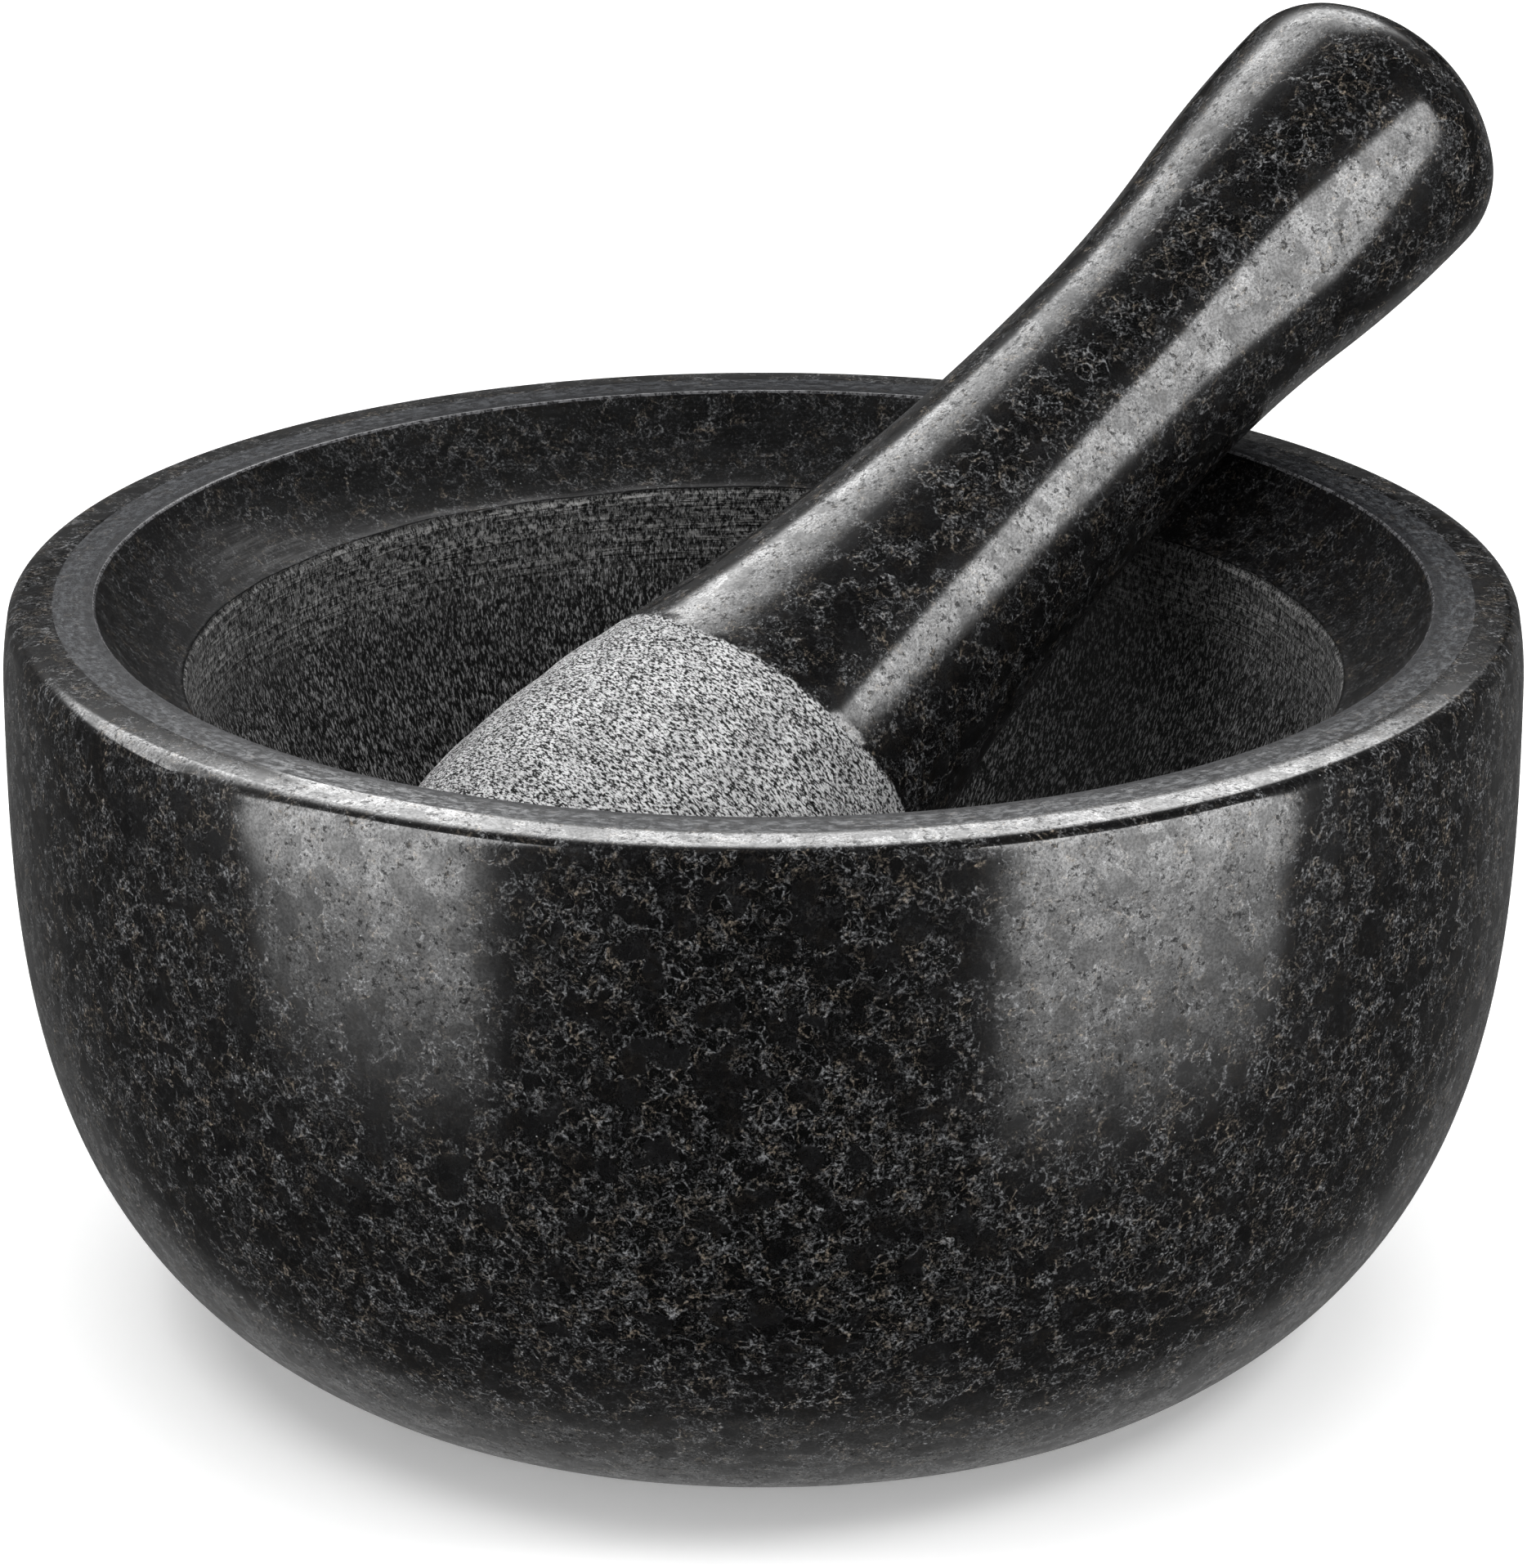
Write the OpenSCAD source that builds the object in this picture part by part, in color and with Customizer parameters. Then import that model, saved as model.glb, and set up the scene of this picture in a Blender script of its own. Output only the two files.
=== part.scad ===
// Polished stone mortar with its pestle resting inside it.
// Millimetres, +Z up. The origin is the centre of the mortar's flat foot, on the table.
// The mortar is turned about the Z axis. The pestle leans in the bowl: its round head
// rests on the bowl's wall and its waist rests on the inner edge of the rim.

/* [Mortar] */
// Outer diameter across the rim, at the top of its corner round
rim_d = 180; // [140:1:240]
// Height from the table to the flat of the rim
mortar_h = 89.4; // [60:0.2:130]
// Diameter of the flat foot
foot_d = 123.2; // [60:0.2:150]
// How far the wall swells past the rim, on the radius
swell = 0.63; // [0.2:0.01:4]
// Distance from the rim down to the widest part of the wall
belly_drop = 9.4; // [6:0.1:20]
// Exponent of the outer curve: 2 is an ellipse, more is squarer
shape_n = 3.03; // [2.2:0.01:4.5]
// Small radius between the foot and the outer wall
foot_round = 1.2; // [0.4:0.1:3]

/* [Rim] */
// Wall thickness across the top of the rim
rim_wall = 10.56; // [6:0.02:18]
// Width of the honed flat next to the bowl
flat_w = 5.1; // [2:0.1:8]
// Radius of the outer corner round
corner_r = 2; // [0.8:0.1:3]
// Drop of the crowned strip between the flat and the corner round
crown_drop = 0.22; // [0.05:0.01:0.8]
// Size of the fine chamfer on the inner edge
inner_chamfer = 0.3; // [0.1:0.05:0.8]

/* [Bowl] */
// Depth of the smooth band below the rim
band_h = 10.15; // [4:0.05:16]
// Width of the smooth band, seen from above
band_w = 10.44; // [4:0.02:16]
// How far the smooth band is dished below a straight cone
band_dish = 0.9; // [0.2:0.05:2]
// Stone left under the middle of the bowl
floor_t = 14.9; // [8:0.1:30]
// Radius of the fine groove between the smooth band and the ground bowl
groove_r = 0.4; // [0.2:0.05:1]

/* [Pestle] */
// Overall length
pestle_len = 186; // [130:1:230]
// Diameter of the grinding head
head_d = 55; // [36:0.2:66]
// Diameter at the waist
waist_d = 31.4; // [20:0.2:34]
// Diameter of the flared grip end
grip_d = 38; // [36:0.2:50]
// Distance from the start of the dome down to the waist
waist_from_grip = 45; // [25:0.5:60]
// Height of the dome on the grip end
dome_h = 13.5; // [8:0.1:16]
// Radius that blends the dome into the grip
dome_blend = 9.8; // [5:0.1:12]
// Share of the run from waist to head that is hollow, the rest is full
head_hollow = 0.74; // [0.4:0.01:0.9]
// Share of the run from waist to grip that is hollow, the rest is full
grip_hollow = 0.49; // [0.4:0.01:0.9]

/* [Resting place] */
// Compass direction in which the pestle leans, from +X towards +Y
lean_az = 39.1; // [0:0.1:90]
// Compass direction from the bowl's axis to the middle of the head
head_az = 189.5; // [150:0.5:230]
// Angle from straight down at which the head touches the bowl
head_swing = 28.7; // [10:0.1:35]
// Clearance left where the pestle rests on the mortar
rest_gap = 0.2; // [0.05:0.05:1]

/* [Quality] */
// Straight steps in each free-form outline
steps = 40; // [24:2:80]
// Facets of a full turn in the preview
turn_n = 180; // [60:12:360]

/* [Hidden] */

rim_r = rim_d / 2;
belly_r = rim_r + swell;
foot_r = foot_d / 2;
belly_z = mortar_h - belly_drop;
curve_b = belly_z / pow(1 - pow(foot_r / belly_r, shape_n), 1 / shape_n);
wall_top_z = mortar_h - crown_drop - corner_r;
bowl_mouth_r = rim_r - rim_wall;
ring_r = bowl_mouth_r - band_w;
ring_z = mortar_h - band_h;
// The ground bowl is part of a sphere through the ring and the floor
ring_up = ring_z - floor_t;
bowl_r = (ring_up * ring_up + ring_r * ring_r) / (2 * ring_up);
bowl_cz = floor_t + bowl_r;

// ---- outlines of the mortar, as [radius, height] points ----

// Radius of the outer wall at height z
function wall_r(z) = z < belly_z
    ? belly_r * pow(1 - pow((belly_z - z) / curve_b, shape_n), 1 / shape_n)
    : belly_r - swell * pow((z - belly_z) / (wall_top_z - belly_z), 2);

// Point of a circular arc that starts at a, ends at b and is bowed to the right by dish
function arc_pts(a, b, dish, n) = let (
        d = b - a, c = norm(d), rad = (c * c / 4 + dish * dish) / (2 * dish),
        half = asin(c / 2 / rad), mid = (a + b) / 2, u = d / c, w = [u[1], -u[0]],
        o = mid - w * (rad - dish))
    [for (i = [0:n]) let (t = -half + 2 * half * i / n) o + rad * (w * cos(t) + u * sin(t))];

// Foot, with its small round
function foot_pts() = let (s = wall_r(foot_round) - foot_r)
    [[0, 0], [foot_r - foot_round * 0.5, 0], [foot_r + s * 0.18, foot_round * 0.22]];

function wall_pts() = [for (i = [0:steps]) let (t = i / steps,
        z = foot_round + (wall_top_z - foot_round) * (0.35 * t * t + 0.65 * t)) [wall_r(z), z]];

function corner_pts() = [for (a = [10:10:90])
        [rim_r - corner_r + corner_r * cos(a), wall_top_z + corner_r * sin(a)]];

function rim_pts() = let (
        x1 = bowl_mouth_r + flat_w, w = rim_r - corner_r - x1)
    concat(
        [for (i = [3:-1:1]) [x1 + w * i / 4, mortar_h - crown_drop * pow(i / 4, 2)]],
        [[x1, mortar_h], [bowl_mouth_r + inner_chamfer, mortar_h]]);

function band_pts() = arc_pts([bowl_mouth_r, mortar_h - inner_chamfer], [ring_r, ring_z],
        -band_dish, 10);

module mortar_outline() {
    polygon(concat(foot_pts(), wall_pts(), corner_pts(), rim_pts(), band_pts(),
        [[0, ring_z]]));
}

module mortar() {
    color([0.12, 0.12, 0.13])
    rotate_extrude($fn = turn_n)
    difference() {
        mortar_outline();
        // ground bowl, only its half to the right of the axis
        intersection() {
            translate([0, bowl_cz]) circle(r = bowl_r, $fn = turn_n);
            translate([0, floor_t - 1]) square([bowl_r + 1, ring_z - floor_t + 1.001]);
        }
        // fine groove where the smooth band ends
        translate([ring_r, ring_z]) circle(r = groove_r, $fn = 24);
    }
}

// ---- pestle, on its own axis: z = 0 is the middle of the head's ball, +Z to the grip ----

head_r = head_d / 2;
waist_r = waist_d / 2;
grip_r = grip_d / 2;
grip_z = pestle_len - head_r - dome_h;      // where the dome begins
waist_z = grip_z - waist_from_grip;

// Two tangent arcs join a narrow radius to a wide one: flat at both ends, the first share k
// of the run is hollow and the rest is full. s is the distance from the narrow end.
function flare(s, run, rise, k) = let (
        total = (rise * rise + run * run) / (2 * rise), hollow = total * k,
        full = total - hollow, cut = run * k)
    s < cut ? hollow - sqrt(hollow * hollow - s * s)
            : rise - full + sqrt(full * full - (run - s) * (run - s));

// Radius of the pestle's straight length at height z
function pestle_r(z) = z <= 0 ? sqrt(max(0, head_r * head_r - z * z))
    : z < waist_z ? waist_r + flare(waist_z - z, waist_z, head_r - waist_r, head_hollow)
    : z < grip_z ? waist_r + flare(z - waist_z, grip_z - waist_z, grip_r - waist_r, grip_hollow)
    : grip_r;

dome_r = (pow(grip_r - dome_blend, 2) + dome_h * dome_h - dome_blend * dome_blend)
    / (2 * (dome_h - dome_blend));
// angle at which the dome meets the blend, from the pestle's axis
dome_a = asin((grip_r - dome_blend) / (dome_r - dome_blend));

function dome_pts() = concat(
    [for (i = [1:8]) let (a = (90 - dome_a) * i / 8)
        [grip_r - dome_blend + dome_blend * cos(a), grip_z + dome_blend * sin(a)]],
    [for (i = [1:8]) let (a = dome_a * (1 - i / 8))
        [dome_r * sin(a), grip_z + dome_h - dome_r + dome_r * cos(a)]]);

module pestle_outline() {
    polygon(concat([[0, 0]],
        [for (i = [0:steps]) let (z = grip_z * i / steps) [pestle_r(z), z]], dome_pts()));
    // ball of the head, only its half to the right of the axis
    intersection() {
        circle(r = head_r, $fn = turn_n);
        translate([0, -head_r - 1]) square([head_r + 1, head_r + 1.001]);
    }
}

// ---- resting place: the head rests on the ground bowl, the waist on the inner edge ----

reach = bowl_r - head_r - rest_gap;
head_at = [reach * sin(head_swing) * cos(head_az), reach * sin(head_swing) * sin(head_az),
    bowl_cz - reach * cos(head_swing)];
edge_r = bowl_mouth_r + inner_chamfer;

edges = [[edge_r, mortar_h], [ring_r, ring_z]];

// Free distance between the pestle and one point of an edge e of the bowl, for a lean angle
function edge_gap(e, lean, az) = let (
        d = [cos(lean) * cos(lean_az), cos(lean) * sin(lean_az), sin(lean)],
        q = [e[0] * cos(az), e[0] * sin(az), e[1]] - head_at, s = q * d)
    norm(q - s * d) - pestle_r(s);
function rim_gap(lean) = min([for (e = edges) for (a = [-40:0.5:40])
    edge_gap(e, lean, lean_az + a)]);
// Lean angle above level that leaves the resting clearance, by halving
function lean_for(lo, hi, n) = n == 0 ? hi : let (m = (lo + hi) / 2)
    rim_gap(m) < rest_gap ? lean_for(m, hi, n - 1) : lean_for(lo, m, n - 1);
lean = lean_for(8, 75, 22);

module pestle() {
    color([0.16, 0.16, 0.17])
    translate(head_at)
    rotate([0, 90 - lean, lean_az])
    rotate_extrude($fn = turn_n) pestle_outline();
}

mortar();
pestle();
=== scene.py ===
import bpy
import math
import numpy as np
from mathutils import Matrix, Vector


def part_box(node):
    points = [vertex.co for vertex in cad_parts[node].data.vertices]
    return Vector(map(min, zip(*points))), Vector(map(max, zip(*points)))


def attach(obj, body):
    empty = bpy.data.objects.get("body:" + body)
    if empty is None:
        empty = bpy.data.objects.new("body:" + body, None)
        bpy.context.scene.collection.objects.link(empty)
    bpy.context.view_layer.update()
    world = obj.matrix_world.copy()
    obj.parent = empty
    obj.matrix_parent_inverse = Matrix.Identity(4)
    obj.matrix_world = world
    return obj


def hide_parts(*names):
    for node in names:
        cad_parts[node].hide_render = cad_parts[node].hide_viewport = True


# A granite mortar with its pestle leaning in it. Lengths are in millimetres unless a comment
# says otherwise. +Z is up, +X is to the right, the camera looks towards +Y from above, and the
# origin is the middle of the mortar's foot.
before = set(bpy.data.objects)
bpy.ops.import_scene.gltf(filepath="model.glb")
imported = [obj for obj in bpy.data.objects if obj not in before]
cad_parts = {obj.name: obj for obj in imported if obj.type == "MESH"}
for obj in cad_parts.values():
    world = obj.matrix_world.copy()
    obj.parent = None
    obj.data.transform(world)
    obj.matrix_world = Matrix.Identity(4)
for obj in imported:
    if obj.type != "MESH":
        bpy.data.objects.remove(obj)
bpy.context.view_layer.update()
scene = bpy.context.scene
MM = 0.001

# ------------------------------------------------------------------ camera
LENS, SENSOR = 170.96, 36.0
EYE_M = (0.0, -0.8426, 0.37097)      # metres
LOOK_DOWN = 20.005                   # degrees under the horizontal

cam_data = bpy.data.cameras.new("camera")
cam_data.lens = LENS
cam_data.sensor_width = SENSOR
cam_data.clip_end = 50.0
camera = bpy.data.objects.new("camera", cam_data)
camera.location = EYE_M
camera.rotation_euler = (math.radians(90 - LOOK_DOWN), 0.0, 0.0)
scene.collection.objects.link(camera)
scene.camera = camera
scene.view_settings.view_transform = "Standard"
scene.view_settings.look = "None"


# ------------------------------------------------------------------ node helper
class Tree:
    """Short calls that add nodes to one node tree and link them."""

    def __init__(self, tree):
        self.t = tree
        self.n = tree.nodes
        self.n.clear()

    def new(self, kind, **props):
        node = self.n.new(kind)
        for key, value in props.items():
            setattr(node, key, value)
        return node

    def put(self, socket, value):
        if isinstance(value, bpy.types.NodeSocket):
            self.t.links.new(value, socket)
        else:
            socket.default_value = value

    def math(self, op, a, b=None, c=None, clamp=False):
        node = self.new("ShaderNodeMath", operation=op, use_clamp=clamp)
        for i, v in enumerate((a, b, c)):
            if v is not None:
                self.put(node.inputs[i], v)
        return node.outputs[0]

    def mul(self, a, b, clamp=False):
        return self.math("MULTIPLY", a, b, clamp=clamp)

    def add(self, a, b):
        return self.math("ADD", a, b)

    def sub(self, a, b):
        return self.math("SUBTRACT", a, b)

    def mul_add(self, a, b, c):
        """a * b + c"""
        return self.math("MULTIPLY_ADD", a, b, c)

    def larger(self, a, b):
        return self.math("MAXIMUM", a, b)

    def vec(self, op, a, b=None, scale=None):
        node = self.new("ShaderNodeVectorMath", operation=op)
        self.put(node.inputs[0], a)
        if b is not None:
            self.put(node.inputs[1], b)
        if scale is not None:
            self.put(node.inputs[3], scale)
        return node.outputs[1 if op == "LENGTH" else 0]

    def ramp(self, value, lo, hi, out_lo=0.0, out_hi=1.0, smooth=True):
        """out_lo up to lo, out_hi from hi on."""
        node = self.new("ShaderNodeMapRange", clamp=True,
                        interpolation_type="SMOOTHSTEP" if smooth else "LINEAR")
        for i, v in enumerate((value, lo, hi, out_lo, out_hi)):
            self.put(node.inputs[i], v)
        return node.outputs[0]

    def noise(self, vector, scale, detail=2.0, rough=0.5, colour=False):
        node = self.new("ShaderNodeTexNoise", normalize=True)
        self.put(node.inputs["Vector"], vector)
        node.inputs["Scale"].default_value = scale
        node.inputs["Detail"].default_value = detail
        node.inputs["Roughness"].default_value = rough
        return node.outputs[1 if colour else 0]

    def cells(self, vector, scale, feature="F1", out=0):
        """out 0 is the distance, 1 a random colour for each cell."""
        node = self.new("ShaderNodeTexVoronoi", feature=feature)
        self.put(node.inputs["Vector"], vector)
        node.inputs["Scale"].default_value = scale
        return node.outputs[out]

    def mix(self, fac, a, b):
        node = self.new("ShaderNodeMix", data_type="RGBA")
        self.put(node.inputs[0], fac)
        self.put(node.inputs[6], a)
        self.put(node.inputs[7], b)
        return node.outputs[2]

    def split(self, vector):
        node = self.new("ShaderNodeSeparateXYZ")
        self.put(node.inputs[0], vector)
        return node.outputs[0], node.outputs[1], node.outputs[2]

    def join(self, x, y, z):
        node = self.new("ShaderNodeCombineXYZ")
        for i, v in enumerate((x, y, z)):
            self.put(node.inputs[i], v)
        return node.outputs[0]

    def bump(self, height, strength, distance):
        node = self.new("ShaderNodeBump")
        node.inputs["Strength"].default_value = strength
        node.inputs["Distance"].default_value = distance
        self.put(node.inputs["Height"], height)
        return node.outputs[0]


def attr(tree, name):
    return tree.new("ShaderNodeAttribute", attribute_type="GEOMETRY", attribute_name=name)


# ------------------------------------------------------------------ stone
# Every length in the patterns below is in millimetres of the real stone.
DARK = (0.0010, 0.0010, 0.0011, 1.0)
GREY = (0.260, 0.264, 0.272, 1.0)
TAN = (0.255, 0.212, 0.165, 1.0)
# pale colour of the painted glints, dots that stand in for highlights on the crystals
PAINTED_GLINT = (0.45, 0.45, 0.45, 1.0)
COAT_IOR = 1.58
HALF = (0.5, 0.5, 0.5)


def vein(t, p, scale, detail, rough, width):
    """1 on the thin lines where a noise passes through its middle value."""
    line = t.math("ABSOLUTE", t.sub(t.noise(p, scale, detail, rough), 0.5))
    return t.ramp(line, 0.0, width, 1.0, 0.0)


def stone_pattern(t, p):
    """Black granite: black matrix, a clumpy network of thin grey and tan filaments, even dark
    grains and a few painted glints, pale dots that stand in for highlights. Returns (colour, tone,
    even, grain): tone is 1 on pale bits, even is 1 inside the dark grains, grain is a value of its
    own for each crystal."""
    slow = t.vec("SUBTRACT", t.noise(p, 0.42, 2.0, 0.5, colour=True), HALF)
    fast = t.vec("SUBTRACT", t.noise(p, 1.5, 2.0, 0.6, colour=True), HALF)
    q = t.vec("ADD", p, t.vec("SCALE", slow, scale=2.4))
    q = t.vec("ADD", q, t.vec("SCALE", fast, scale=0.60))
    far = t.vec("ADD", q, (31.0, 7.0, 55.0))

    # pale crumbs and three sizes of filament, each strong in some clumps and faint in others
    clump = t.ramp(t.noise(q, 0.30, 4.0, 0.72), 0.36, 0.62)
    clump2 = t.ramp(t.noise(far, 0.40, 4.0, 0.72), 0.36, 0.62)
    crumb = t.ramp(t.noise(q, 1.05, 4.0, 0.70), 0.54, 0.74)
    rim = t.ramp(t.cells(q, 0.55, feature="DISTANCE_TO_EDGE"), 0.02, 0.13, 1.0, 0.0)
    wide = vein(t, q, 0.42, 2.0, 0.55, 0.030)
    thin = vein(t, far, 0.95, 3.0, 0.6, 0.045)
    tone = t.mul(crumb, t.mul_add(clump, 0.70, 0.14))
    tone = t.larger(tone, t.mul(wide, t.mul_add(clump2, 0.65, 0.03)))
    tone = t.larger(tone, t.mul(rim, t.mul_add(clump2, 0.60, 0.05)))
    tone = t.larger(tone, t.mul(thin, t.mul_add(clump, 0.50, 0.02)))
    grit = t.ramp(t.noise(p, 2.6, 3.0, 0.7), 0.40, 0.66)
    tone = t.mul(tone, t.mul_add(grit, 1.30, 0.12))

    # even dark grains, two or three millimetres across
    grain, shade, _ = t.split(t.cells(q, 0.36, out=1))
    even = t.ramp(grain, 0.74, 0.80)
    tone = t.mul(tone, t.mul_add(even, -0.75, 1.0))
    tone = t.math("POWER", t.math("MINIMUM", tone, 1.0), 1.5)
    tone = t.mul_add(even, t.mul(shade, 0.014), tone)
    warm = t.ramp(t.noise(q, 0.42, 3.0, 0.65), 0.47, 0.62)
    colour = t.mix(t.math("MINIMUM", tone, 1.0), DARK, t.mix(warm, GREY, TAN))

    # painted highlight: a small pale glint dot in every fifth or sixth cell
    _, pick, _ = t.split(t.cells(p, 0.95, out=1))
    painted_glint = t.mul(t.ramp(t.cells(p, 0.95), 0.04, 0.13, 1.0, 0.0), t.ramp(pick, 0.80, 0.84))
    colour = t.mix(t.mul(painted_glint, t.mul_add(clump, 0.7, 0.2)), colour, PAINTED_GLINT)
    return colour, tone, even, grain


def material(name):
    m = bpy.data.materials.new(name)
    m.use_nodes = True
    t = Tree(m.node_tree)
    return m, t, t.new("ShaderNodeOutputMaterial").inputs["Surface"]


def principled(t, colour, roughness, normal=None, level=0.5):
    b = t.new("ShaderNodeBsdfPrincipled")
    t.put(b.inputs["Base Color"], colour)
    t.put(b.inputs["Roughness"], roughness)
    if normal is not None:
        t.put(b.inputs["Normal"], normal)
    b.inputs["IOR"].default_value = 1.55
    b.inputs["Specular IOR Level"].default_value = level
    b.inputs["Metallic"].default_value = 0.0
    return b


def coated(t, b, share, rough=0.07):
    """The mirror of the polish, on top of the dull stone."""
    t.put(b.inputs["Coat Weight"], share)
    b.inputs["Coat Roughness"].default_value = rough
    b.inputs["Coat IOR"].default_value = COAT_IOR


def object_mm(t):
    return t.vec("SCALE", t.new("ShaderNodeTexCoord").outputs["Object"], scale=1 / MM)


def from_axis(t, x, y):
    return t.math("SQRT", t.add(t.mul(x, x), t.mul(y, y)))


def round_coords(t, p, radius=80.0):
    """Radius from the axis, x and y scaled to one radius so that streaks keep their width, z."""
    x, y, z = t.split(p)
    r = from_axis(t, x, y)
    inv = t.math("DIVIDE", radius, t.larger(r, 1.0))
    return r, t.mul(x, inv), t.mul(y, inv), z


def stretched(t, x, y, z, across, along):
    """Coordinates with x and y scaled by across and z by along, for streaks."""
    return t.join(t.mul(x, across), t.mul(y, across), t.mul(z, along))


def polish(t, p, even, grain):
    """Mirror share and relief of the polished stone. Each crystal takes its own polish, and small
    broken pits between them take none."""
    pit = t.ramp(t.noise(p, 1.05, 4.0, 0.75), 0.56, 0.61)
    fine = t.ramp(t.noise(p, 2.4, 3.0, 0.7), 0.54, 0.62)
    keep = t.mul_add(even, -0.8, 1.0)
    pit = t.mul(t.larger(pit, t.mul(fine, 0.5)), keep)
    cloud = t.ramp(t.noise(p, 0.28, 4.0, 0.7), 0.36, 0.66, 0.62, 1.0)
    crystal = t.ramp(grain, 0.0, 1.0, 1.0, 0.50, smooth=False)
    share = t.mul(cloud, t.mul_add(crystal, 0.85, 0.2))
    share = t.mul(share, t.mul_add(pit, -0.85, 1.0))
    share = t.mul(share, t.ramp(t.noise(p, 3.2, 2.0, 0.6), 0.36, 0.62, 0.70, 1.25))
    height = t.mul_add(t.noise(p, 1.4, 2.0, 0.6), 0.20, t.mul(pit, -1.0))
    return share, height


def polished_stone(name):
    m, t, surface = material(name)
    p = object_mm(t)
    colour, _, even, grain = stone_pattern(t, p)
    # painted reflection of the floor: the stone is lifted to a brownish tone near the foot,
    # strongest at the floor
    _, _, z = t.split(p)
    floor_reflection_mottle = t.ramp(t.noise(p, 0.5, 4.0, 0.7), 0.34, 0.66, 0.3, 1.0)
    low = t.mul(t.ramp(z, 2.0, 26.0, 1.0, 0.0), floor_reflection_mottle)
    colour = t.mix(t.mul(low, 0.04), colour, (0.060, 0.047, 0.038, 1.0))
    share, height = polish(t, p, even, grain)
    b = principled(t, colour, 0.35, t.bump(height, 0.3, 0.05 * MM), level=0.06)
    coated(t, b, share)
    t.put(surface, b.outputs[0])
    return m


def honed_stone(name):
    """Rim flat: satin, scored round by the wheel, with dark flecks and small chips."""
    m, t, surface = material(name)
    p = object_mm(t)
    colour, *_ = stone_pattern(t, p)
    r, cx, cy, _ = round_coords(t, p)
    score = t.ramp(t.noise(stretched(t, cx, cy, r, 0.55, 1.7), 1.0, 4.0, 0.72), 0.40, 0.62)
    fleck = t.ramp(t.noise(p, 0.85, 5.0, 0.78), 0.50, 0.57)
    inner = t.ramp(r, MOUTH_R + 0.86, MOUTH_R + 2.16, 1.0, 0.0)
    base = t.mix(t.mul_add(score, 0.85, 0.10), (0.004, 0.004, 0.005, 1.0),
                 (0.060, 0.064, 0.070, 1.0))
    dull = t.mul(t.mul_add(fleck, -0.8, 1.0), t.mul_add(inner, -0.7, 1.0))
    colour = t.mix(0.65, colour, base)
    colour = t.mix(t.mul_add(dull, -0.9, 0.9), colour, (0.002, 0.002, 0.003, 1.0))
    height = t.sub(t.mul(score, 0.5), fleck)
    b = principled(t, colour, 0.5, t.bump(height, 0.35, 0.10 * MM), level=0.12)
    coated(t, b, t.mul(dull, t.mul_add(score, 0.40, 0.02)), 0.26)
    t.put(surface, b.outputs[0])
    return m


def band_stone(name):
    """Smooth band inside the rim: black and half polished, with fine rings left by turning."""
    m, t, surface = material(name)
    p = object_mm(t)
    colour, *_ = stone_pattern(t, p)
    x, y, z = t.split(p)
    ring = t.ramp(t.noise(stretched(t, x, y, z, 0.10, 2.4), 1.0, 4.0, 0.72), 0.42, 0.70)
    speck = t.ramp(t.noise(p, 2.2, 3.0, 0.7), 0.55, 0.72)
    colour = t.mix(0.5, colour, DARK)
    colour = t.mix(t.mul(ring, 0.20), colour, (0.014, 0.014, 0.015, 1.0))
    colour = t.mix(t.mul(speck, 0.50), colour, (0.050, 0.050, 0.051, 1.0))
    height = t.mul_add(t.noise(p, 1.6, 3.0, 0.6), 0.5, ring)
    b = principled(t, colour, 0.45, t.bump(height, 0.15, 0.05 * MM), level=0.06)
    coated(t, b, t.mul_add(t.larger(ring, speck), 0.16, 0.04), 0.22)
    t.put(surface, b.outputs[0])
    return m


def ground_tone(t, streak, lo, hi):
    """Crushed crystals: short pale strokes with black gaps between them. Returns (height, tone)."""
    grit = t.noise(streak, 1.0, 5.0, 0.78)
    height = t.mul_add(t.cells(streak, 1.5), -0.22, t.add(grit, 0.10))
    return height, t.ramp(height, lo, hi)


def bowl_ground(name):
    """Ground bowl: dark, with short upright strokes and a paler strip under the smooth band. The
    strip is partly paler crushed stone and partly a painted highlight where the shoulder catches
    the light.
    """
    m, t, surface = material(name)
    p = object_mm(t)
    _, cx, cy, z = round_coords(t, p, radius=62.0)
    grit, tone = ground_tone(t, stretched(t, cx, cy, z, 3.0, 1.05), 0.47, 0.64)
    slow = t.ramp(t.noise(p, 0.15, 3.0, 0.6), 0.35, 0.65, 0.70, 1.10)
    colour = t.mix(t.mul(tone, slow, clamp=True), (0.0015, 0.0015, 0.0015, 1.0),
                   (0.270, 0.270, 0.270, 1.0))
    # speckles and a few ledges cut round, near the groove; the pale strip there is partly crushed
    # stone and partly a painted highlight of the shoulder under the band
    round_cut = t.join(t.mul(cx, 0.05), t.mul(cy, 0.05), z)
    ledge = t.ramp(t.noise(round_cut, 1.3, 3.0, 0.6), 0.44, 0.60)
    lip = t.mul(t.ramp(z, 66.0, 76.0), t.ramp(t.noise(p, 1.3, 4.0, 0.75), 0.46, 0.60))
    lip = t.mul(lip, t.mul_add(ledge, 0.6, 0.4))
    colour = t.mix(t.mul(lip, 0.70), colour, (0.360, 0.357, 0.348, 1.0))
    height = t.mul_add(ledge, t.mul(t.ramp(z, 66.0, 72.0), 0.6), grit)
    b = principled(t, colour, 0.62, t.bump(height, 0.9, 0.35 * MM), level=0.15)
    t.put(surface, b.outputs[0])
    return m


def edge_stone(name):
    """The fine chamfer of the inner edge: pale here and there, a painted highlight along the edge.
    """
    m, t, surface = material(name)
    tone = t.ramp(t.noise(object_mm(t), 1.2, 3.0, 0.7), 0.40, 0.60)
    # pale patches: painted highlight of the edge
    colour = t.mix(tone, (0.015, 0.015, 0.016, 1.0), (0.11, 0.11, 0.115, 1.0))
    b = principled(t, colour, 0.22, t.bump(tone, 0.3, 0.05 * MM))
    t.put(surface, b.outputs[0])
    return m


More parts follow.
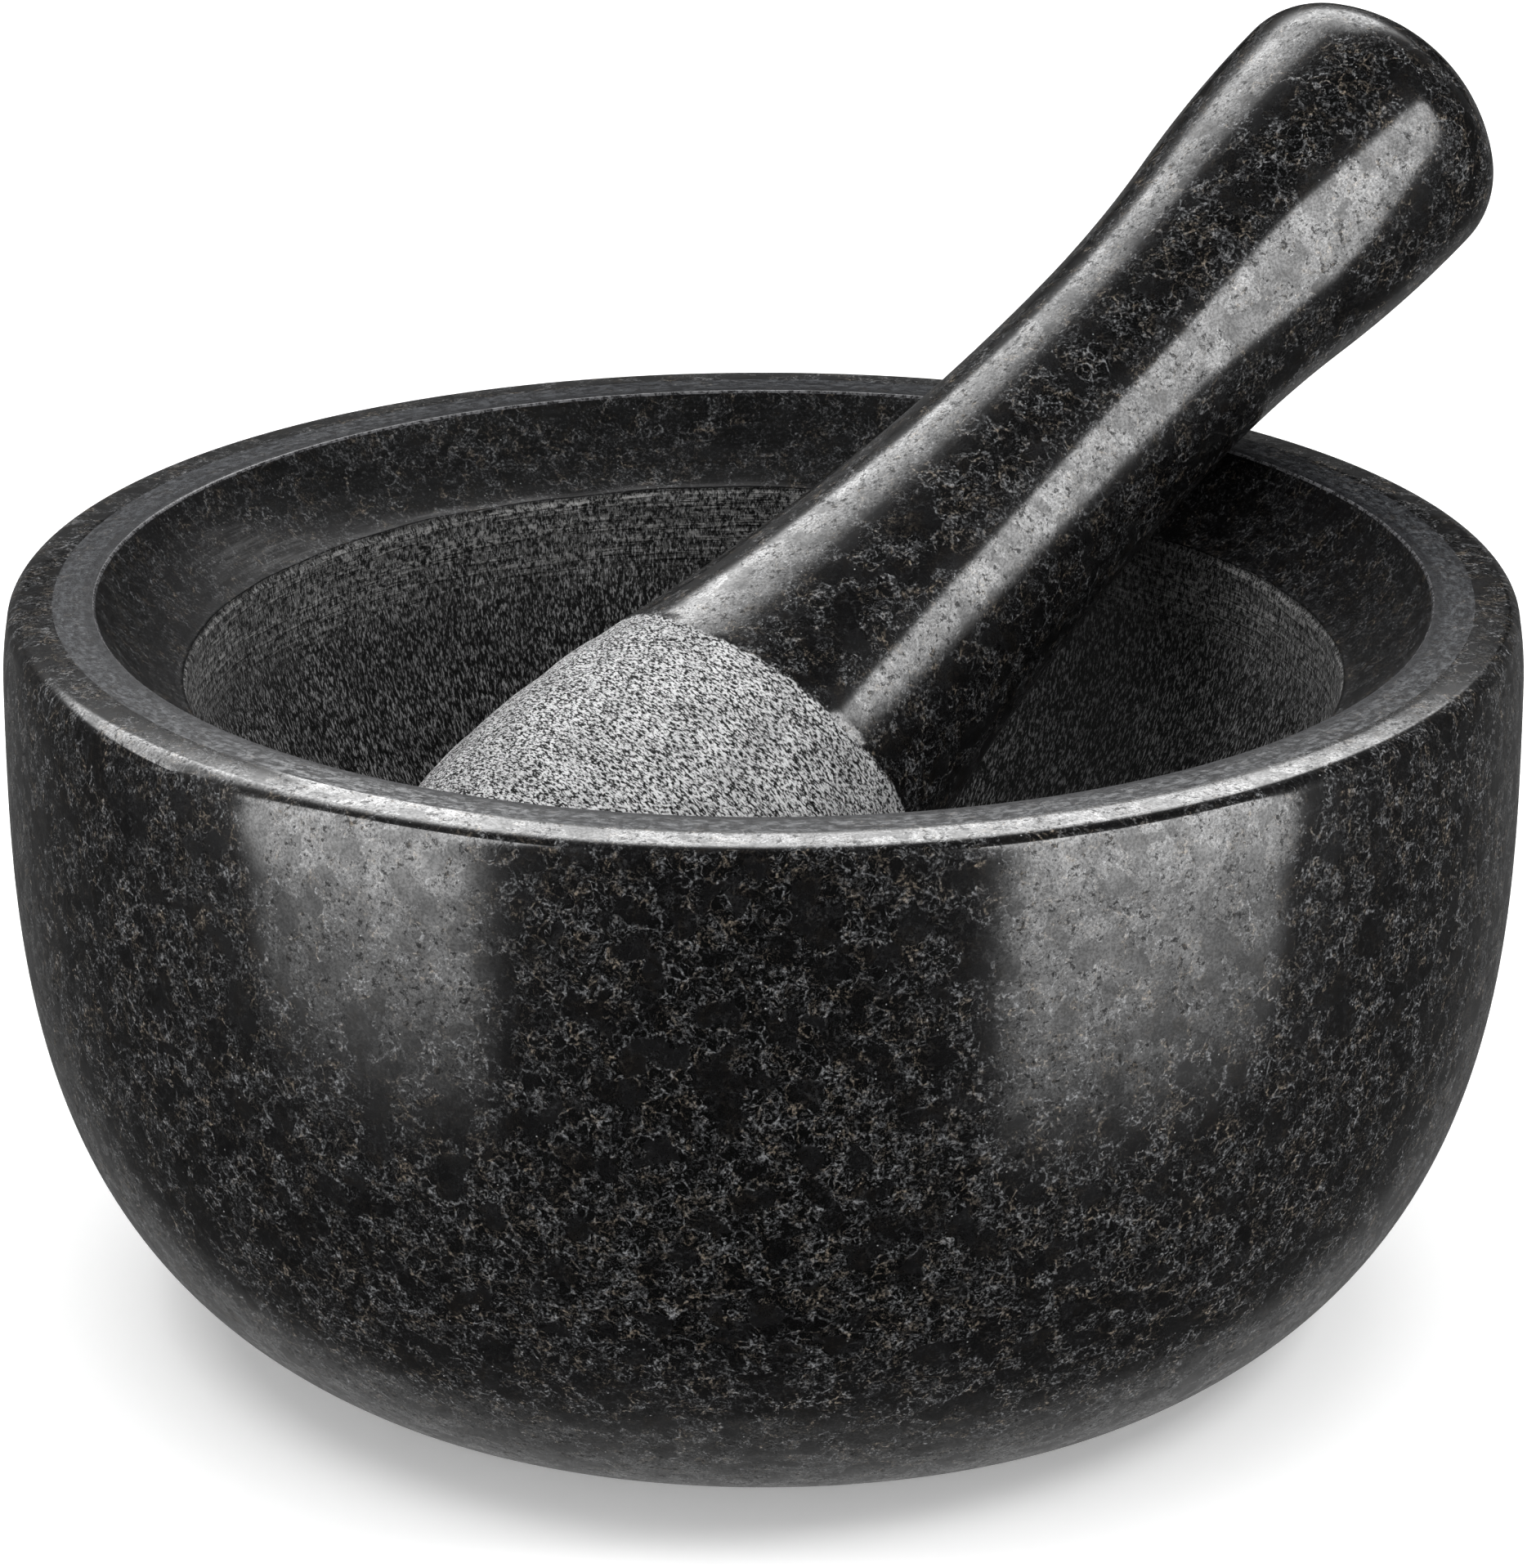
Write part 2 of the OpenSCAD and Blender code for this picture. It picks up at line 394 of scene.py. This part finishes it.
def foot_stone(name):
    """Underside: sawn and left dull, with the saw's faint arcs."""
    m, t, surface = material(name)
    p = object_mm(t)
    colour, *_ = stone_pattern(t, p)
    arc = t.vec("LENGTH", t.vec("SUBTRACT", p, (140.0, 60.0, 0.0)))
    saw = t.ramp(t.noise(t.join(arc, 0.0, 0.0), 0.9, 3.0, 0.6), 0.38, 0.64)
    colour = t.mix(0.55, colour, (0.040, 0.040, 0.041, 1.0))
    b = principled(t, colour, 0.55, t.bump(saw, 0.3, 0.08 * MM), level=0.4)
    t.put(surface, b.outputs[0])
    return m


def pestle_stone(name):
    """One stone with two finishes: polished grip and ground head, told apart by "split"."""
    m, t, surface = material(name)
    p = object_mm(t)
    own = attr(t, "own").outputs["Vector"]
    colour, _, even, grain = stone_pattern(t, p)
    share, height = polish(t, p, even, grain)
    # ground head: short strokes run round it
    grit, tone = ground_tone(t, t.vec("MULTIPLY", own, (1.35, 1.35, 3.1)), 0.41, 0.57)
    slow = t.ramp(t.noise(own, 0.20, 3.0, 0.6), 0.35, 0.65, 0.80, 1.08)
    head = t.mix(t.mul(tone, slow, clamp=True), (0.006, 0.006, 0.006, 1.0),
                 (0.74, 0.742, 0.748, 1.0))
    # ragged border between the two
    edge = attr(t, "split").outputs["Fac"]
    edge = t.add(edge, t.mul_add(t.noise(own, 0.9, 3.0, 0.7), 1.6, -0.8))
    mask = t.ramp(edge, -0.25, 0.25)
    colour = t.mix(mask, head, colour)
    rough = t.mul_add(mask, -0.20, 0.55)
    relief = t.mul_add(mask, t.mul_add(height, 0.06, t.mul(grit, -1.0)), grit)
    b = principled(t, colour, rough, t.bump(relief, 0.9, 0.30 * MM), level=0.06)
    coated(t, b, t.mul(share, mask))
    t.put(surface, b.outputs[0])
    return m


# ------------------------------------------------------------------ turned meshes
def lathe(name, outline, kinds, turns, move):
    """Turns [radius, height] points about +Z. kinds[i] is the material of the strip from point i
    to i + 1. The first and last points lie on the axis. move(points) returns the vertices in
    their final places."""
    outline = np.array(outline, dtype=float)
    ang = np.arange(turns) * 2 * math.pi / turns
    body = outline[1:-1]
    pts = np.empty((len(body), turns, 3))
    pts[:, :, 0] = body[:, 0:1] * np.cos(ang)
    pts[:, :, 1] = body[:, 0:1] * np.sin(ang)
    pts[:, :, 2] = body[:, 1:2]
    verts = move(np.vstack([[0, 0, outline[0, 1]], pts.reshape(-1, 3), [0, 0, outline[-1, 1]]]))
    last = len(verts) - 1
    j = np.arange(turns)
    k = (j + 1) % turns
    faces = [(0, 1 + b, 1 + a) for a, b in zip(j, k)]
    for i in range(len(body) - 1):
        a, b = 1 + i * turns, 1 + (i + 1) * turns
        faces.extend(zip(a + j, a + k, b + k, b + j))
    a = 1 + (len(body) - 1) * turns
    faces.extend((a + p, a + q, last) for p, q in zip(j, k))
    mesh = bpy.data.meshes.new(name)
    mesh.from_pydata((verts * MM).tolist(), [], [tuple(int(v) for v in f) for f in faces])
    mesh.polygons.foreach_set("material_index", np.repeat(kinds, turns).tolist())
    mesh.polygons.foreach_set("use_smooth", [True] * len(mesh.polygons))
    mesh.update()
    obj = bpy.data.objects.new(name, mesh)
    scene.collection.objects.link(obj)
    return obj


def spread(a, b, n):
    """n even steps from a to b, without b."""
    return [a + (b - a) * (i / n) for i in range(n)]


def wobble(pts, scale, seed):
    """Smooth value in about -1..1 at each point, from fixed sine waves about scale long."""
    rng = np.random.default_rng(seed)
    out = np.zeros(len(pts))
    for _ in range(14):
        d = rng.normal(size=3)
        d /= np.linalg.norm(d)
        turn = pts @ d * (2 * math.pi / scale) * rng.uniform(0.7, 1.4)
        out += np.sin(turn + rng.uniform(0, 6.28))
    return out / 4.0


def bumps(pts, scale, seed):
    """wobble() lifted to about 0..1, and never below 0."""
    return (wobble(pts, scale, seed) * 0.5 + 0.5).clip(0, 1.6)


# ------------------------------------------------------------------ mortar
# sizes of the CAD part
RIM_R, SWELL, H = 90.0, 0.63, 89.4
FOOT_R, FOOT_ROUND, FOOT_LAND = 61.6, 1.2, 61.0
BELLY_Z, CURVE_N = 80.0, 3.03
CROWN, CORNER = 0.22, 2.0
MOUTH_R, FLAT, CHAMFER = 79.44, 5.1, 0.3
RING_R, RING_Z, DISH, GROOVE = 69.0, 79.25, 0.9, 0.4
FLOOR_Z, LIP = 14.9, 0.8
IN = 0.03      # the wall is kept inside the CAD solid's faceted surface
WALL_ROWS, BOWL_ROWS, BAND_ROWS, MORTAR_TURNS = 92, 96, 18, 372
# derived: the wall's superellipse and the bowl's sphere
BELLY_R = RIM_R + SWELL
CURVE_B = BELLY_Z / (1 - (FOOT_R / BELLY_R) ** CURVE_N) ** (1 / CURVE_N)
WALL_TOP = H - CROWN - CORNER
UP = RING_Z - FLOOR_Z
BOWL_R = (UP * UP + RING_R * RING_R) / (2 * UP)
BOWL_Z = FLOOR_Z + BOWL_R
CROWN_R0, CROWN_R1 = MOUTH_R + FLAT, RIM_R - IN - CORNER
assert abs(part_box("mortar")[1][2] - H * MM) < 0.0002, "the CAD mortar has another height"

POLISHED, HONED, EDGE, BAND, GROUND, FOOT = range(6)
outline, kinds = [], []


def wall_r(z):
    if z < BELLY_Z:
        return BELLY_R * (1 - ((BELLY_Z - z) / CURVE_B) ** CURVE_N) ** (1 / CURVE_N)
    return BELLY_R - SWELL * ((z - BELLY_Z) / (WALL_TOP - BELLY_Z)) ** 2


def wall_z(i):
    """Height of row i of the wall. Rows are closer together near the foot."""
    share = 0.42 * (i / WALL_ROWS) ** 2 + 0.58 * i / WALL_ROWS
    return FOOT_ROUND + (WALL_TOP - FOOT_ROUND) * share


def crown_z(q):
    """Height of the rim's crown, q = 0 at the honed flat and 1 at the corner round."""
    return H - CROWN * max(0.0, (q - 0.1) / 0.9) ** 1.35


def dished(start, end, dish, n):
    """Points of the arc from start to end that sags by dish below its chord."""
    (ax, ay), (bx, by) = start, end
    chord = math.hypot(bx - ax, by - ay)
    rad = (chord * chord / 4 + dish * dish) / (2 * dish)
    half = math.asin(chord / 2 / rad)
    ux, uy = (bx - ax) / chord, (by - ay) / chord
    wx, wy = -uy, ux
    ox, oy = (ax + bx) / 2 - wx * (rad - dish), (ay + by) / 2 - wy * (rad - dish)
    return [(ox + rad * (wx * math.cos(q) + ux * math.sin(q)),
             oy + rad * (wy * math.cos(q) + uy * math.sin(q)))
            for q in [-half + 2 * half * i / n for i in range(n + 1)]]


def strip(points, kind):
    for q in points:
        outline.append(q)
        kinds.append(kind)


strip([(0.0, 0.0)] + [(r, 0.0) for r in spread(6.0, FOOT_LAND, 9)], FOOT)
# the foot's corner round
step = wall_r(FOOT_ROUND) - FOOT_R
strip([(FOOT_LAND, 0.0), (FOOT_R - 0.25, 0.03), (FOOT_R + step * 0.17, 0.26),
       (FOOT_R + step * 0.55, 0.68)], POLISHED)
strip([(wall_r(z) - IN, z) for z in map(wall_z, range(WALL_ROWS))], POLISHED)
# the rim: corner round, crown, flat and chamfer
strip([(CROWN_R1 + CORNER * math.cos(q), WALL_TOP + CORNER * math.sin(q))
       for q in map(math.radians, range(0, 90, 9))], POLISHED)
strip([(CROWN_R0 + (CROWN_R1 - CROWN_R0) * q, crown_z(q))
       for q in (1.0, 0.85, 0.7, 0.55, 0.42, 0.32, 0.24, 0.18, 0.1)], POLISHED)
strip([(r, H) for r in spread(CROWN_R0, MOUTH_R + CHAMFER, 6)], HONED)
strip([(MOUTH_R + CHAMFER * q, H - CHAMFER * (1 - q) ** 1.6)
       for q in (1.0, 0.72, 0.45, 0.2)], EDGE)
strip(dished((MOUTH_R, H - CHAMFER), (RING_R, RING_Z), DISH, BAND_ROWS)[:-1], BAND)
# the groove is a small round channel, and the ground bowl starts from its lower lip
strip([(RING_R + GROOVE * 0.70, RING_Z + GROOVE * 0.72), (RING_R + GROOVE * 0.98, RING_Z + 0.10),
       (RING_R + GROOVE * 0.80, RING_Z - GROOVE * 0.55),
       (RING_R + GROOVE * 0.25, RING_Z - GROOVE * 0.95)], GROUND)
lip_a = math.asin((BOWL_Z - (RING_Z - LIP)) / BOWL_R)
bowl_a = [lip_a + (math.pi / 2 - lip_a) * (i / BOWL_ROWS) for i in range(BOWL_ROWS)]
strip([(BOWL_R * math.cos(q), BOWL_Z - BOWL_R * math.sin(q)) for q in bowl_a], GROUND)
outline.append((0.0, FLOOR_Z))


def worn_bowl(v):
    """Hand finish: the ground bowl is slightly uneven and its upper lip wanders a little."""
    r = np.hypot(v[:, 0], v[:, 1])
    z = v[:, 2]
    in_bowl = (z > FLOOR_Z - 1) & (z < RING_Z - 1.0) & (r < RING_R + 0.6)
    in_bowl &= np.hypot(r, z - BOWL_Z) < BOWL_R + 0.7
    cut = np.where(in_bowl, 0.10 * bumps(v, 9.0, 5) + 0.05 * bumps(v, 4.2, 6), 0.0)
    way = v - np.array([0, 0, BOWL_Z])
    out = v + way / np.linalg.norm(way, axis=1)[:, None].clip(1e-6) * cut[:, None]
    a = np.arctan2(v[:, 1], v[:, 0])
    on_lip = (np.abs(z - RING_Z) < 1.0) & (r > RING_R - 1.0) & (r < RING_R + 1.2)
    shift = 0.16 * np.sin(a * 3 + 1.0) + 0.10 * np.sin(a * 11 + 2.0) + 0.06 * np.sin(a * 29)
    out[:, 2] += np.where(on_lip, shift, 0.0)
    return out


mortar = lathe("mortar_stone_body", outline, kinds, MORTAR_TURNS, worn_bowl)
for make, label in ((polished_stone, "granite_polished"), (honed_stone, "granite_honed"),
                    (edge_stone, "granite_bruised_edge"), (band_stone, "granite_turned_band"),
                    (bowl_ground, "granite_ground_bowl"), (foot_stone, "granite_sawn_foot")):
    mortar.data.materials.append(make(label))

# ------------------------------------------------------------------ pestle
# sizes of the CAD part. In the pestle's own frame, 0 is the head's centre and +Z is its length
HEAD_R, WAIST_R, GRIP_R, LENGTH = 27.5, 15.7, 19.0, 186.0
DOME_H, DOME_EDGE_R = 13.5, 9.8
GRIP_TAPER = 45.0
LOW_FLARE, HIGH_FLARE = 0.74, 0.49      # share of each flare that is hollow
HEAD_ROWS, SHAFT_ROWS, DOME_ROWS, PESTLE_TURNS = 40, 150, 16, 300
# where it rests: the head's centre, and the shaft's slope and direction
HEAD_AT = np.array([-19.6408, -3.28674, 47.6945])
LEAN, LEAN_AZ = math.radians(32.1347), math.radians(39.1)
# derived
GRIP_Z = LENGTH - HEAD_R - DOME_H
WAIST_Z = GRIP_Z - GRIP_TAPER
EDGE_AT = GRIP_R - DOME_EDGE_R
DOME_R = (EDGE_AT ** 2 + DOME_H ** 2 - DOME_EDGE_R ** 2) / (2 * (DOME_H - DOME_EDGE_R))
DOME_A = math.asin(EDGE_AT / (DOME_R - DOME_EDGE_R))


def flare(s, run, rise, k):
    """Rise at s along a curve of two arcs, hollow and then full, that meet at share k."""
    total = (rise * rise + run * run) / (2 * rise)
    hollow, cut = total * k, run * k
    full = total - hollow
    if s < cut:
        return hollow - math.sqrt(hollow * hollow - s * s)
    return rise - full + math.sqrt(full * full - (run - s) ** 2)


def pestle_r(z):
    if z < WAIST_Z:
        return WAIST_R + flare(WAIST_Z - z, WAIST_Z, HEAD_R - WAIST_R, LOW_FLARE)
    return WAIST_R + flare(z - WAIST_Z, GRIP_Z - WAIST_Z, GRIP_R - WAIST_R, HIGH_FLARE)


def pestle_outline():
    """Half ball, shaft, the round edge of the grip's end, and its dome."""
    ball = [math.pi / 2 * i / HEAD_ROWS for i in range(HEAD_ROWS)]
    shaft = [GRIP_Z * i / SHAFT_ROWS for i in range(SHAFT_ROWS)]
    edge = [(math.pi / 2 - DOME_A) * i / DOME_ROWS for i in range(DOME_ROWS)]
    dome = [DOME_A * (1 - i / DOME_ROWS) for i in range(DOME_ROWS)]
    end = GRIP_Z + DOME_H
    points = [(HEAD_R * math.sin(q), -HEAD_R * math.cos(q)) for q in ball]
    points += [(pestle_r(z), z) for z in shaft]
    points += [(EDGE_AT + DOME_EDGE_R * math.cos(q), GRIP_Z + DOME_EDGE_R * math.sin(q))
               for q in edge]
    points += [(DOME_R * math.sin(q), end - DOME_R + DOME_R * math.cos(q)) for q in dome]
    return points + [(0.0, end)]


def border(v):
    """Signed distance along the pestle from the ground head to the polished grip."""
    a = np.arctan2(v[:, 1], v[:, 0])
    line = 29.0 - 0.6 * np.cos(a) - 2.4 * np.sin(a)
    line += 0.35 * np.sin(3 * a + 0.6) + 0.2 * np.sin(7 * a)
    return v[:, 2] - line


def place_pestle(v):
    """The ground head is cut a little below the polish and is uneven; then the pestle leans."""
    b = border(v)
    way = v.copy()
    way[:, 2] = np.where(v[:, 2] > 0, 0.0, v[:, 2])
    way /= np.linalg.norm(way, axis=1)[:, None].clip(1e-6)
    rough = 0.13 + 0.07 * wobble(v, 7.0, 3) + 0.04 * wobble(v, 3.4, 4)
    cut = np.clip(-b / 0.6, 0, 1) * rough.clip(0.02, 0.4)
    cut += 0.012 - 0.01 * np.clip(1 - np.abs(b - 0.5) / 0.8, 0, 1)
    w = v - way * cut[:, None]
    own_points["own"], own_points["split"] = v.copy(), b
    flat, slope = np.array([math.cos(LEAN_AZ), math.sin(LEAN_AZ), 0.0]), math.sin(LEAN)
    ex = flat * slope - [0.0, 0.0, math.cos(LEAN)]
    ey = np.array([-math.sin(LEAN_AZ), math.cos(LEAN_AZ), 0.0])
    ez = flat * math.cos(LEAN) + [0.0, 0.0, slope]
    return HEAD_AT + w[:, 0:1] * ex + w[:, 1:2] * ey + w[:, 2:3] * ez


profile, own_points = pestle_outline(), {}
pestle = lathe("pestle_stone_body", profile, [0] * (len(profile) - 1), PESTLE_TURNS, place_pestle)
own = pestle.data.attributes.new("own", "FLOAT_VECTOR", "POINT")
own.data.foreach_set("vector", own_points["own"].astype(np.float32).ravel())
split = pestle.data.attributes.new("split", "FLOAT", "POINT")
split.data.foreach_set("value", own_points["split"].astype(np.float32))
pestle.data.materials.append(pestle_stone("granite_pestle"))

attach(mortar, "mortar")
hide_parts("mortar")
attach(pestle, "pestle")
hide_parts("pestle")

# ------------------------------------------------------------------ floor, light, surroundings
FLOOR_HALF_M = 6.0
FLOOR_GLOW, FAR_GLOW = 0.30, 0.85      # near the mortar, and from 1.4 m away on


def white_floor():
    """A white table, lit a little from below, and more so far from the mortar."""
    k = FLOOR_HALF_M
    mesh = bpy.data.meshes.new("floor")
    mesh.from_pydata([(-k, -k, 0), (k, -k, 0), (k, k, 0), (-k, k, 0)], [], [(0, 1, 2, 3)])
    floor = bpy.data.objects.new("floor", mesh)
    scene.collection.objects.link(floor)
    m, t, surface = material("floor_white")
    b = principled(t, (0.93, 0.93, 0.93, 1.0), 0.55, level=0.2)
    b.inputs["Emission Color"].default_value = (1.0, 1.0, 1.0, 1.0)
    x, y, _ = t.split(t.new("ShaderNodeTexCoord").outputs["Object"])
    t.put(b.inputs["Emission Strength"],
          t.ramp(from_axis(t, x, y), 0.3, 1.4, FLOOR_GLOW, FAR_GLOW))
    t.put(surface, b.outputs[0])
    mesh.materials.append(m)
    floor.visible_glossy = False


def direction(az, el):
    """Unit vector from the bowl. az 0 is the camera's side and 90 is +X, el is upwards."""
    a, e = math.radians(az), math.radians(el)
    return Vector((math.sin(a) * math.cos(e), -math.cos(a) * math.cos(e), math.sin(e)))


def edge_of(t, value, at, width, sign):
    """1 on the side of at that sign points to, 0 on the other, with a soft step between."""
    power = t.mul(t.sub(value, at), -sign / width)
    return t.math("DIVIDE", 1.0, t.add(1.0, t.math("POWER", math.e, power)))


def low_notch(t, u):
    """Lower edge of the back softbox: lowest from 31.5 to 40 mm right of its middle."""
    return t.add(t.ramp(u, 5.0, 31.5, 134.0, 90.0, smooth=False),
                 t.ramp(u, 40.0, 50.0, 0.0, 48.0, smooth=False))


def softbox(name, az, distance, across, up, soft, bright, fall=0.0, el=0.0, lower=None):
    """Softbox plane, seen in reflections only, square to the direction (az, el) from a point 80 mm
    over the middle of the foot. across and up are its ends to the right and upwards as seen from
    the bowl, soft is the softness of its edges and of the lower one, fall is the loss of
    brightness for each mm upwards, and lower(t, u) shapes the lower edge."""
    (u0, u1), (v0, v1), (soft, soft_low) = across, up, soft
    a = math.radians(az)
    way = direction(az, el)
    right = Vector((math.cos(a), math.sin(a), 0.0))
    top = way.cross(right)
    mid = Vector((0.0, 0.0, 80.0)) + way * distance
    du, dv = soft * 4.0, soft_low * 4.0
    data = bpy.data.meshes.new(name)
    corners = [(u0 - du, v0 - dv), (u1 + du, v0 - dv), (u1 + du, v1 + du), (u0 - du, v1 + du)]
    data.from_pydata([(mid + right * u + top * v) * MM for u, v in corners], [], [(0, 1, 2, 3)])
    place = data.attributes.new("uv_mm", "FLOAT_VECTOR", "POINT")
    place.data.foreach_set("vector", [c for u, v in corners for c in (u, v, 0.0)])
    obj = bpy.data.objects.new(name, data)
    scene.collection.objects.link(obj)

    m, t, surface = material(name)
    u, v, _ = t.split(attr(t, "uv_mm").outputs["Vector"])
    power = t.larger(t.mul_add(v, -fall, bright), 0.4)
    low = lower(t, u) if lower else v0
    for part in (edge_of(t, u, u0, soft, 1), edge_of(t, u, u1, soft, -1),
                 edge_of(t, v, low, soft_low, 1), edge_of(t, v, v1, soft, -1)):
        power = t.mul(power, part)
    glow = t.new("ShaderNodeEmission")
    t.put(glow.inputs["Strength"], power)
    t.put(surface, glow.outputs[0])
    data.materials.append(m)
    for kind in ("camera", "shadow", "transmission", "diffuse"):
        setattr(obj, "visible_" + kind, False)


def area(name, az, el, distance, size, watts):
    """Soft light aimed at the bowl from distance metres away, not seen in reflections."""
    data = bpy.data.lights.new(name, "AREA")
    data.energy = watts
    data.size = size
    lamp = bpy.data.objects.new(name, data)
    way = direction(az, el)
    lamp.location = Vector((0, 0, 0.07)) + way * distance
    lamp.rotation_euler = way.to_track_quat("Z", "Y").to_euler()
    lamp.visible_glossy = False
    scene.collection.objects.link(lamp)


white_floor()
softbox("softbox_right", az=38.0, distance=339.0, across=(-38.0, 255.0), up=(-128.0, 280.0),
        soft=(8.0, 26.0), bright=7.6, fall=-0.010)
softbox("softbox_left", az=-38.0, distance=339.0, across=(-232.0, 7.0), up=(-98.0, 400.0),
        soft=(8.0, 26.0), bright=8.4)
softbox("softbox_back", az=189.0, distance=160.0, across=(-160.0, 890.0), up=(90.0, 900.0),
        soft=(12.0, 7.0), bright=8.2, fall=5.4 / 400, el=-5.0, lower=low_notch)
area("light_top", az=0, el=88, distance=1.5, size=1.6, watts=17.0)
area("light_left", az=-75, el=58, distance=1.1, size=0.35, watts=3.5)
area("light_right", az=75, el=46, distance=1.1, size=0.35, watts=5.0)

# ------------------------------------------------------------------ background
ROOM_LIGHT, SEEN_WHITE = 0.46, 1.0
world = bpy.data.worlds.new("studio")
scene.world = world
world.use_nodes = True
t = Tree(world.node_tree)
sky = t.new("ShaderNodeOutputWorld")


def background(strength):
    node = t.new("ShaderNodeBackground")
    node.inputs["Color"].default_value = (1.0, 1.0, 1.0, 1.0)
    t.put(node.inputs["Strength"], strength)
    return node.outputs[0]


def blend(fac, a, b):
    node = t.new("ShaderNodeMixShader")
    for i, v in enumerate((fac, a, b)):
        t.put(node.inputs[i], v)
    return node.outputs[0]


def mirrored_room():
    """What the polish mirrors outside the softboxes: a dim room, and the lit floor low down."""
    degrees = 180.0 / math.pi
    x, y, z = t.split(t.new("ShaderNodeTexCoord").outputs["Generated"])
    az = t.math("ABSOLUTE", t.mul(t.math("ARCTAN2", x, t.mul(y, -1.0)), degrees))
    el = t.mul(t.math("ARCSINE", z), degrees)
    dim = t.add(t.ramp(az, 15.0, 60.0, 0.04, 0.08), t.ramp(az, 120.0, 150.0, 0.0, 0.05))
    horizon = t.ramp(az, 112.0, 150.0, -60.0, -20.0)
    bright = t.ramp(az, 60.0, 150.0, 0.07, 0.20)
    return t.add(dim, t.ramp(t.sub(horizon, el), 0.0, 24.0, 0.0, bright))


path = t.new("ShaderNodeLightPath")
room = blend(path.outputs["Is Glossy Ray"], background(ROOM_LIGHT), background(mirrored_room()))
t.put(sky.inputs["Surface"], blend(path.outputs["Is Camera Ray"], room, background(SEEN_WHITE)))
